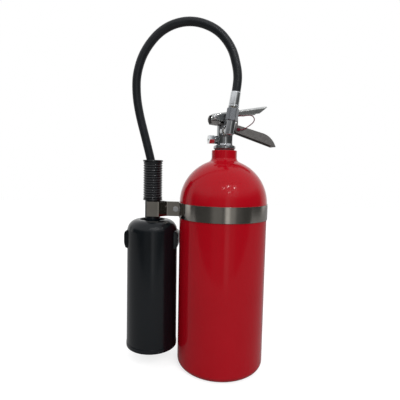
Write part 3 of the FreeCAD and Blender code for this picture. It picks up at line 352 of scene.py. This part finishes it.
finishes = {
    "red_paint": makePaint(),
    "dark_plating": makeMetal("darkPlating", (0.36, 0.37, 0.38), 0.13, 260.0, worn=0.2, edge=0.0007),
    "nut_plating": makeMetal("nutPlating", (0.19, 0.20, 0.215), 0.22, 260.0, worn=0.15),
    "bright_plating": makeMetal("brightPlating", (0.60, 0.62, 0.63), 0.12, 240.0, worn=0.08, edge=0.0004),
    "lever_steel": makeMetal("leverSteel", (0.50, 0.51, 0.50), 0.2, 300.0, worn=0.15, edge=0.0022),
    "handle_steel": makeSpeckled("handleSteel", (0.17, 0.16, 0.155), (0.24, 0.23, 0.22), 0.42, 0.8),
    "band_steel": makeMetal(
        "bandSteel", (0.31, 0.29, 0.26), 0.12, 500.0, (0.15, 0.15, 6.0), worn=0.06, edge=0.0003,
    ),
    "plain_steel": makeMetal("plainSteel", (0.62, 0.62, 0.63), 0.14, 300.0, edge=0.0009),
    "inner_brass": makeMetal("innerBrass", (0.60, 0.44, 0.18), 0.3, 300.0),
    "aluminium_tube": makeMetal("drawnAluminium", (0.70, 0.70, 0.71), 0.35, 400.0, (1, 1, 0.05)),
    "hose_rubber": makeHoseRubber(),
    "grip_rubber": makePlastic("gripRubber", (0.0016, 0.0022, 0.003), 0.2, 500.0, 0.04, shine=0.65),
    "horn_plastic": makePlastic("hornPlastic", (0.0016, 0.0026, 0.0036), 0.22, 700.0, 0.05, shine=0.3),
    "seal_rubber": makePlastic("sealRubber", (0.02, 0.02, 0.02), 0.6),
    "seat_plastic": makePlastic("seatPlastic", (0.62, 0.60, 0.52), 0.5),
    "tamper_plastic": makePlastic("tamperPlastic", (0.065, 0.001, 0.008), 0.4, 400.0, 0.1, shine=0.25),
}


def dressNodes():
    for subpart in frame["record"]["subparts"]:
        mesh = nodes[subpart["node"]].data
        mesh.materials.clear()
        mesh.materials.append(finishes[subpart["material_slot"]])


dressNodes()
print("materials made:", len(finishes))


hose = {
    "radius": 0.0085, "length": 0.556, "columns": 48,
    "start": [(0.018649, -0.032587, 0.554792), (0.020593, -0.031879, 0.568638)],
    "route": [
        (0.0214, -0.0310, 0.5840), (0.0194, -0.0300, 0.6020), (0.0090, -0.0270, 0.6400),
        (-0.0210, -0.0240, 0.6760), (-0.0720, -0.0210, 0.6930), (-0.1240, -0.0185, 0.6790),
        (-0.1610, -0.0155, 0.6390), (-0.1775, -0.0130, 0.5940), (-0.1785, -0.0105, 0.5530),
        (-0.1725, -0.0080, 0.5140), (-0.1620, -0.0050, 0.4730), (-0.1520, -0.0025, 0.4330),
        (-0.1455, 0.0, 0.4040), (-0.1455, 0.0, 0.3800),
    ],
}
tamperSeal = {
    "radius": 0.001, "length": 0.083, "columns": 12,
    "route": [
        (0.0200, -0.0154, 0.5150), (0.0300, -0.0150, 0.5135), (0.0420, -0.0146, 0.5165),
        (0.0530, -0.0142, 0.5170), (0.0585, -0.0142, 0.5105), (0.0560, -0.0142, 0.5030),
        (0.0470, -0.0142, 0.4960), (0.0380, -0.0142, 0.4900), (0.0325, -0.0142, 0.4870),
        (0.0265, -0.0142, 0.4870),
    ],
}


def smoothLine(name, points, resolution):
    # the cord's own line: a spline pulled towards its points, read back as places along it
    curve = bpy.data.curves.new(name, "CURVE")
    curve.dimensions = "3D"
    spline = curve.splines.new("NURBS")
    spline.points.add(len(points) - 1)
    for target, point in zip(spline.points, points):
        target.co = (*point, 1)
    spline.order_u = 3
    spline.use_endpoint_u = True
    spline.resolution_u = resolution
    holder = bpy.data.objects.new(name, curve)
    bpy.context.scene.collection.objects.link(holder)
    bpy.context.view_layer.update()
    line = bpy.data.meshes.new_from_object(holder)
    path = np.zeros(len(line.vertices) * 3)
    line.vertices.foreach_get("co", path)
    bpy.data.objects.remove(holder)
    bpy.data.meshes.remove(line)
    return path.reshape(-1, 3)


def tubeAlong(name, path, radius, columns, sideways):
    # a circle carried along the path; its first axis stays square to `sideways`, and both ends are closed
    along = np.gradient(path, axis=0)
    along /= np.linalg.norm(along, axis=1, keepdims=True)
    first = np.cross(np.array(sideways), along)
    first /= np.linalg.norm(first, axis=1, keepdims=True)
    second = np.cross(along, first)
    angle = np.linspace(0, 2 * math.pi, columns, endpoint=False)[None, :, None]
    ring = first[:, None] * np.cos(angle) + second[:, None] * np.sin(angle)
    grid = path[:, None] + ring * radius
    caps = [np.repeat(path[:1, None], columns, axis=1), np.repeat(path[-1:, None], columns, axis=1)]
    mesh = surface(name, np.concatenate([caps[0], grid, caps[1]]))
    closeUp(mesh, 50)
    return mesh


def makeHose():
    path = smoothLine("hoseLine", hose["start"] + hose["route"], 10)
    mesh = tubeAlong("hoseTube", path, hose["radius"], hose["columns"], (0, 1, 0))
    piece = addPiece("hoseTube", mesh, finishes["hose_rubber"], None, ["hose"])
    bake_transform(piece)


def makeTamperSeal():
    points = [tuple(headPlace @ Vector(point)) for point in tamperSeal["route"]]
    path = smoothLine("sealLine", points, 8)
    mesh = tubeAlong("tamperLoop", path, tamperSeal["radius"], tamperSeal["columns"], tuple(acrossHead))
    piece = addPiece("tamperLoop", mesh, finishes["tamper_plastic"], None, ["tamper_seal"])
    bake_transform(piece)


makeHose()
makeTamperSeal()
print("cords made")


shell = {
    "wall": 0.004, "baseThickness": 0.005, "baseCorner": 0.014, "shoulder": 0.339, "neckRadius": 0.0255,
    "neckBore": 0.0126, "neckFillet": 0.010, "neckEdge": 0.0012, "floorCorner": 0.012,
    "columns": 256,
}


def makeCylinder():
    # base corner, wall, a dome of the wall's own radius, a hollow fillet and the neck; then, inside,
    # the dome, the wall and the floor
    r = shellRadius
    neck, shoulder = shell["neckRadius"], shell["shoulder"]
    top = float(shellHigh[2])
    lift = np.linspace(0, math.acos(neck / r), 60)
    dome = np.stack([r * np.cos(lift), shoulder + r * np.sin(lift)], axis=1)
    fillet = shell["neckFillet"]
    middle = (neck + fillet, shoulder + math.sqrt((r + fillet) ** 2 - (neck + fillet) ** 2))
    slope = math.atan2(middle[1] - shoulder, middle[0])
    dome = dome[lift < slope]
    sweep = np.linspace(slope + math.pi, math.pi, 12)
    hollow = np.stack([middle[0] + fillet * np.cos(sweep), middle[1] + fillet * np.sin(sweep)], axis=1)
    lower = rounded([(0, 0), (r, 0, shell["baseCorner"]), (r, shoulder)], 16)[:-1]
    upper = rounded([(neck, top - 0.004), (neck, top, shell["neckEdge"]), (shell["neckBore"], top)])[1:]
    inner = r - shell["wall"]
    sink = np.linspace(math.acos(shell["neckBore"] / inner), 0, 30)
    inside = np.stack([inner * np.cos(sink), shoulder + inner * np.sin(sink)], axis=1)
    base = shell["baseThickness"]
    floor = rounded([(inner, shoulder), (inner, base, shell["floorCorner"]), (0, base)], 8)[1:]
    profile = np.vstack([divided(lower, 0.02), dome, hollow, upper, inside, floor])
    mesh = surface("shell", turnedGrid(profile, shell["columns"]))
    closeUp(mesh, 50)
    addPiece("shell", mesh, finishes["red_paint"], "root", ["cylinder"])


makeCylinder()


marks = {
    "height": 30.0, "first": -6.0, "step": 5.5, "count": 6,       # degrees up, degrees round
    "radius": 0.0017, "wire": 0.00028, "sink": 0.00012,
}


def makeMarks():
    # a row of plain raised rings, each a small circle carried round a larger one and laid on the dome
    m = marks
    around = np.linspace(0, 2 * math.pi, 20, endpoint=False)[:, None]
    across = np.linspace(0, 2 * math.pi, 8, endpoint=False)[None]
    reach = m["radius"] + m["wire"] * np.cos(across)
    rise = m["wire"] * np.sin(across) + around * 0
    ring = np.stack([reach * np.cos(around), reach * np.sin(around), rise], axis=-1)
    whole = bmesh.new()
    for number in range(m["count"]):
        mesh = surface("markRing", ring, alongClosed=True)
        turn = math.radians(m["first"] + m["step"] * number)
        lift = math.radians(m["height"])
        out = Vector((math.sin(turn) * math.cos(lift), -math.cos(turn) * math.cos(lift), math.sin(lift)))
        place = Matrix.Translation(Vector((0, 0, shell["shoulder"])) + out * (shellRadius - m["sink"]))
        mesh.transform(place @ out.to_track_quat("Z", "Y").to_matrix().to_4x4())
        whole.from_mesh(mesh)
        bpy.data.meshes.remove(mesh)
    mesh = bpy.data.meshes.new("domeMarks")
    whole.to_mesh(mesh)
    whole.free()
    closeUp(mesh, 60)
    addPiece("domeMarks", mesh, finishes["red_paint"], "root")


makeMarks()
print("cylinder made")


hornShape = {
    "mouth": 0.0339, "low": 0.0525, "high": 0.0514, "wall": 0.0026, "crown": 0.3015, "crownRadius": 0.029,
    "recess": 0.0255, "floor": 0.297, "drop": 0.023, "hole": 0.0112, "columns": 320,
    "lugReach": 0.0028, "lugWidth": 0.040, "lugLow": 0.242, "lugHigh": 0.279,
}


def smoothStep(value, low, high):
    share = np.clip((value - low) / (high - low), 0, 1)
    return share * share * (3 - 2 * share)


def makeHorn():
    # a turned shell; each lug is a flat that stands out of the wall where |y| and z lie inside its patch
    h = hornShape
    shoulder = h["crown"] - h["drop"]
    sweep = np.linspace(0, math.pi / 2, 22)
    arc = np.stack([
        h["crownRadius"] + (h["high"] - h["crownRadius"]) * np.cos(sweep),
        shoulder + h["drop"] * np.sin(sweep),
    ], axis=1)
    rim = rounded([
        (h["low"] - h["wall"], h["mouth"]), (h["low"] + 0.0005, h["mouth"], 0.0012),
        (h["low"] + 0.0005, h["mouth"] + 0.008, 0.0008), (h["low"] - 0.0001, h["mouth"] + 0.0095, 0.0008),
        (h["high"], shoulder),
    ])[1:]
    crown = rounded([
        (h["crownRadius"], h["crown"]), (h["recess"], h["crown"], 0.0012), (h["recess"], h["floor"], 0.001),
        (h["hole"], h["floor"]), (h["hole"], h["floor"] - 0.0035), (h["crownRadius"], h["floor"] - 0.0035),
    ])[1:-1]
    inner = np.stack([
        h["crownRadius"] + (h["high"] - h["wall"] - h["crownRadius"]) * np.sin(sweep),
        shoulder - 0.004 + (h["floor"] - 0.0035 - shoulder + 0.004) * np.cos(sweep),
    ], axis=1)
    outer = divided(np.vstack([rim, arc]), 0.0015)
    profile = np.vstack([outer, crown, inner, [(h["high"] - h["wall"], h["mouth"])]])
    grid = turnedGrid(profile, h["columns"])
    part = grid[:len(outer)]
    x, y, z = part[..., 0], part[..., 1], part[..., 2]
    reach = h["low"] + h["lugReach"] * smoothStep(z, h["lugLow"], h["lugLow"] + 0.013)
    reach = reach - 0.0028 * smoothStep(z, h["lugHigh"] - 0.009, h["lugHigh"] + 0.002)
    wide = 1 - smoothStep(np.abs(y), h["lugWidth"] / 2 - 0.001, h["lugWidth"] / 2 + 0.0006)
    tall = smoothStep(z, h["lugLow"], h["lugLow"] + 0.002)
    tall = tall * (1 - smoothStep(z, h["lugHigh"] - 0.0015, h["lugHigh"] + 0.0015))
    share = wide * tall
    part[..., 0] = np.sign(x) * (np.abs(x) + np.maximum(reach - np.abs(x), 0) * share)
    grid[:len(outer)] = part
    grid[..., 0] += hornAxis
    mesh = surface("hornShell", grid, alongClosed=True)
    closeUp(mesh, 40)
    addPiece("hornShell", mesh, finishes["horn_plastic"], "horn", ["horn"])


gripShape = {
    "rib": 0.0197, "root": 0.0178, "bore": 0.0153, "snug": 0.01305, "flange": 0.0203, "flangeHeight": 0.0040,
    "ribs": 15, "plain": 0.0035, "columns": 128,
}


def makeGrip():
    # the radius dips once between one rib and the next, as 1 - |cos| ** 1.6, with a flange above
    g = gripShape
    low, high = boxOf("grip")
    foot, top = float(low[2]), float(high[2])
    ribTop = top - g["flangeHeight"]
    height = np.linspace(foot + g["plain"], ribTop, g["ribs"] * 14 + 1)
    phase = (height - height[0]) / (height[-1] - height[0]) * g["ribs"]
    swell = 1 - np.abs(np.cos(math.pi * (phase + 0.5))) ** 1.6
    radius = g["rib"] - (g["rib"] - g["root"]) * swell
    radius[0] = radius[-1] = g["root"]
    ribs = np.stack([radius, height], axis=1)
    lower = rounded([(g["snug"], foot), (g["rib"], foot, 0.0006), (g["rib"], foot + g["plain"], 0.0006),
                     (g["root"], foot + g["plain"] + 0.0001)])[1:-1]
    upper = rounded([(g["root"], ribTop), (g["flange"], ribTop + 0.0004, 0.0006), (g["flange"], top, 0.0009),
                     (g["bore"], top, 0.0009), (g["bore"], foot + 0.013), (g["snug"], foot + 0.0105),
                     (g["snug"], foot)])[1:]
    mesh = surface("gripSleeve", turnedGrid(np.vstack([lower, ribs, upper]), g["columns"]), alongClosed=True)
    closeUp(mesh, 60)
    addPiece("gripSleeve", mesh, finishes["grip_rubber"], "horn", ["grip"],
             Matrix.Translation((hornAxis, 0, 0)))


makeHorn()
makeGrip()
print("horn and grip made")

hoseEnd = {
    "side": -0.0045, "reach": 0.037, "height": 0.482, "lean": 8.5,
    "nutFlats": 0.0205, "nutTurn": 73, "nutFoot": 0.0183, "nutTop": 0.0425, "nutBore": 0.0048,
    "foot": 0.044, "top": 0.0736, "wide": 0.0103, "narrow": 0.0096, "bore": 0.00475, "crimp": 0.00745,
}


def makeHoseEnd():
    # a hex nut with coned corners, and above it a ferrule whose foot has a bead before it tapers
    e = hoseEnd
    place = (headPlace @ Matrix.Translation((e["side"], -e["reach"], e["height"]))
             @ Matrix.Rotation(math.radians(e["lean"]), 4, "Y"))
    nutPlace = place @ Matrix.Rotation(math.radians(e["nutTurn"]), 4, "Z")
    hexPiece("hoseNut", e["nutFlats"], e["nutFoot"], e["nutTop"], e["nutBore"], finishes["nut_plating"],
             "root", ["hose_nut"], nutPlace)
    foot, top, wide, narrow = e["foot"], e["top"], e["wide"], e["narrow"]
    turned("hoseFerrule", [
        (e["bore"], foot), (wide - 0.0008, foot, 0.0004), (wide, foot + 0.0008, 0.0005),
        (wide, foot + 0.0032, 0.0005), (wide - 0.0007, foot + 0.0038, 0.0003),
        (wide - 0.0002, foot + 0.0048, 0.0005), (narrow, top - 0.0012, 0.0006),
        (narrow - 0.0006, top, 0.0004), (e["crimp"], top), (e["crimp"], foot + 0.003),
        (e["bore"], foot + 0.003),
    ], finishes["bright_plating"], "root", ["upper_ferrule"], place)


makeHoseEnd()
print("hose end made")

spring = {"radius": 0.0046, "wire": 0.0007, "turns": 5, "steps": 160, "columns": 10, "pressed": 0.7}


def makeSpring():
    # a circle carried along a helix: x = r cos a, y = r sin a, while z rises evenly with a
    low, high = boxOf("valve_spring")
    foot, top = float(low[2]), float(high[2])
    angle = headTurn + np.linspace(0, 2 * math.pi * spring["turns"], spring["steps"])
    rise = np.linspace(foot + spring["wire"], top - spring["wire"], spring["steps"])
    path = np.stack([spring["radius"] * np.cos(angle), spring["radius"] * np.sin(angle), rise], axis=1)
    mesh = tubeAlong("valveSpring", path, spring["wire"], spring["columns"], (0, 0, 1))
    piece = addPiece("valveSpring", mesh, finishes["plain_steel"], "root", ["valve_spring"])
    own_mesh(piece)


makeSpring()
print("spring made")


studio = {
    "floorFront": -0.64, "floorBack": 3.2, "floorSide": 2.6, "floorGrey": 0.34, "floorGlow": 0.70,
    "white": 1.0,
    # degrees round from the front, and how bright the room is there
    "room": [
        (-180, 1.0), (-128, 1.0), (-114, 0.3), (-104, 1.0), (-95, 1.0), (-88, 0.08), (-34, 0.12),
        (-22, 0.3), (-6, 0.3), (3, 0.16), (8, 1.05), (15, 1.05), (18, 0.5), (29, 0.42), (34, 0.2),
        (55, 0.1), (108, 0.1), (124, 0.9), (180, 1.0),
    ],
    "ceilingStart": 0.18, "ceilingFull": 0.5,
    "lamps": [(15, 45, 2.2), (35, 40, 2.2), (0, 40, 0.9), (15, 30, 0.9)],   # degrees round, degrees up, watts
    "lampDistance": 2.0, "lampWide": 0.09, "lampAim": (0, 0, 0.37),
    "panelAim": (0, 0, 0.3),
}


def makeFloor():
    x, near, far = studio["floorSide"], studio["floorFront"], studio["floorBack"]
    mesh = bpy.data.meshes.new("floor")
    mesh.from_pydata([(-x, near, 0), (x, near, 0), (x, far, 0), (-x, far, 0)], [], [(0, 1, 2, 3)])
    floor = bpy.data.objects.new("floor", mesh)
    bpy.context.scene.collection.objects.link(floor)
    n = Nodes("paleFloor", (studio["floorGrey"],) * 3, 0.0, 0.7)
    path = n.add("ShaderNodeLightPath")
    glow = n.add("ShaderNodeMath", operation="MULTIPLY")
    glow.inputs[1].default_value = studio["white"] * studio["floorGlow"]
    n.link(path.outputs["Is Camera Ray"], glow.inputs[0])
    n.shader.inputs["Emission Color"].default_value = (1, 1, 1, 1)
    n.link(glow.outputs["Value"], n.shader.inputs["Emission Strength"])
    mesh.materials.append(n.material)


def makeWorld():
    # a room that is bright behind the object and dim in front with soft upright strips, under a white
    # ceiling; camera rays see plain white in its place
    world = bpy.data.worlds.new("studio")
    bpy.context.scene.world = world
    world.use_nodes = True
    tree = world.node_tree
    tree.nodes.clear()
    where = tree.nodes.new("ShaderNodeTexCoord")
    parts = tree.nodes.new("ShaderNodeSeparateXYZ")
    tree.links.new(where.outputs["Generated"], parts.inputs[0])
    back = tree.nodes.new("ShaderNodeMath")
    back.operation = "MULTIPLY"
    back.inputs[1].default_value = -1
    tree.links.new(parts.outputs["Y"], back.inputs[0])
    azimuth = tree.nodes.new("ShaderNodeMath")
    azimuth.operation = "ARCTAN2"
    tree.links.new(parts.outputs["X"], azimuth.inputs[0])
    tree.links.new(back.outputs[0], azimuth.inputs[1])
    turn = tree.nodes.new("ShaderNodeMapRange")
    turn.inputs["From Min"].default_value = -math.pi
    turn.inputs["From Max"].default_value = math.pi
    tree.links.new(azimuth.outputs[0], turn.inputs["Value"])
    ramp = tree.nodes.new("ShaderNodeValToRGB")
    elements = ramp.color_ramp.elements
    while len(elements) < len(studio["room"]):
        elements.new(0.5)
    for element, (degrees, level) in zip(elements, studio["room"]):
        element.position = (degrees + 180) / 360
        element.color = (level, level, level * 0.99, 1)
    tree.links.new(turn.outputs["Result"], ramp.inputs["Fac"])
    rise = tree.nodes.new("ShaderNodeMapRange")
    rise.interpolation_type = "SMOOTHSTEP"
    rise.inputs["From Min"].default_value = studio["ceilingStart"]
    rise.inputs["From Max"].default_value = studio["ceilingFull"]
    tree.links.new(parts.outputs["Z"], rise.inputs["Value"])
    ceiling = tree.nodes.new("ShaderNodeMix")
    ceiling.data_type = "RGBA"
    ceiling.inputs["B"].default_value = (1.0, 1.0, 1.02, 1)
    tree.links.new(rise.outputs["Result"], ceiling.inputs["Factor"])
    tree.links.new(ramp.outputs["Color"], ceiling.inputs["A"])
    room = tree.nodes.new("ShaderNodeBackground")
    tree.links.new(ceiling.outputs["Result"], room.inputs["Color"])
    plain = tree.nodes.new("ShaderNodeBackground")
    plain.inputs["Color"].default_value = (1, 1, 1, 1)
    plain.inputs["Strength"].default_value = studio["white"]
    path = tree.nodes.new("ShaderNodeLightPath")
    mix = tree.nodes.new("ShaderNodeMixShader")
    tree.links.new(path.outputs["Is Camera Ray"], mix.inputs["Fac"])
    tree.links.new(room.outputs[0], mix.inputs[1])
    tree.links.new(plain.outputs[0], mix.inputs[2])
    output = tree.nodes.new("ShaderNodeOutputWorld")
    tree.links.new(mix.outputs[0], output.inputs["Surface"])


def addLight(name, place, target, size, power, shiny=True):
    light = bpy.data.lights.new(name, "AREA")
    light.shape = "DISK"
    light.size = size
    light.energy = power
    lamp = bpy.data.objects.new(name, light)
    aim = Vector(target) - Vector(place)
    lamp.matrix_world = Matrix.Translation(place) @ aim.to_track_quat("-Z", "Y").to_matrix().to_4x4()
    bpy.context.scene.collection.objects.link(lamp)
    lamp.visible_glossy = shiny


def makeLights():
    addLight("keyPanel", (0.9, -1.7, 1.5), studio["panelAim"], 1.2, 34, shiny=False)
    addLight("fillPanel", (-1.5, -1.2, 1.1), studio["panelAim"], 1.4, 9, shiny=False)
    for number, (around, up, power) in enumerate(studio["lamps"]):
        turn = Matrix.Rotation(math.radians(around), 4, "Z") @ Matrix.Rotation(-math.radians(up), 4, "X")
        place = Vector(studio["lampAim"]) + turn @ Vector((0, -studio["lampDistance"], 0))
        addLight(f"ceilingLamp{number}", place, studio["lampAim"], studio["lampWide"], power)


makeFloor()
makeWorld()
makeLights()
print("studio set")
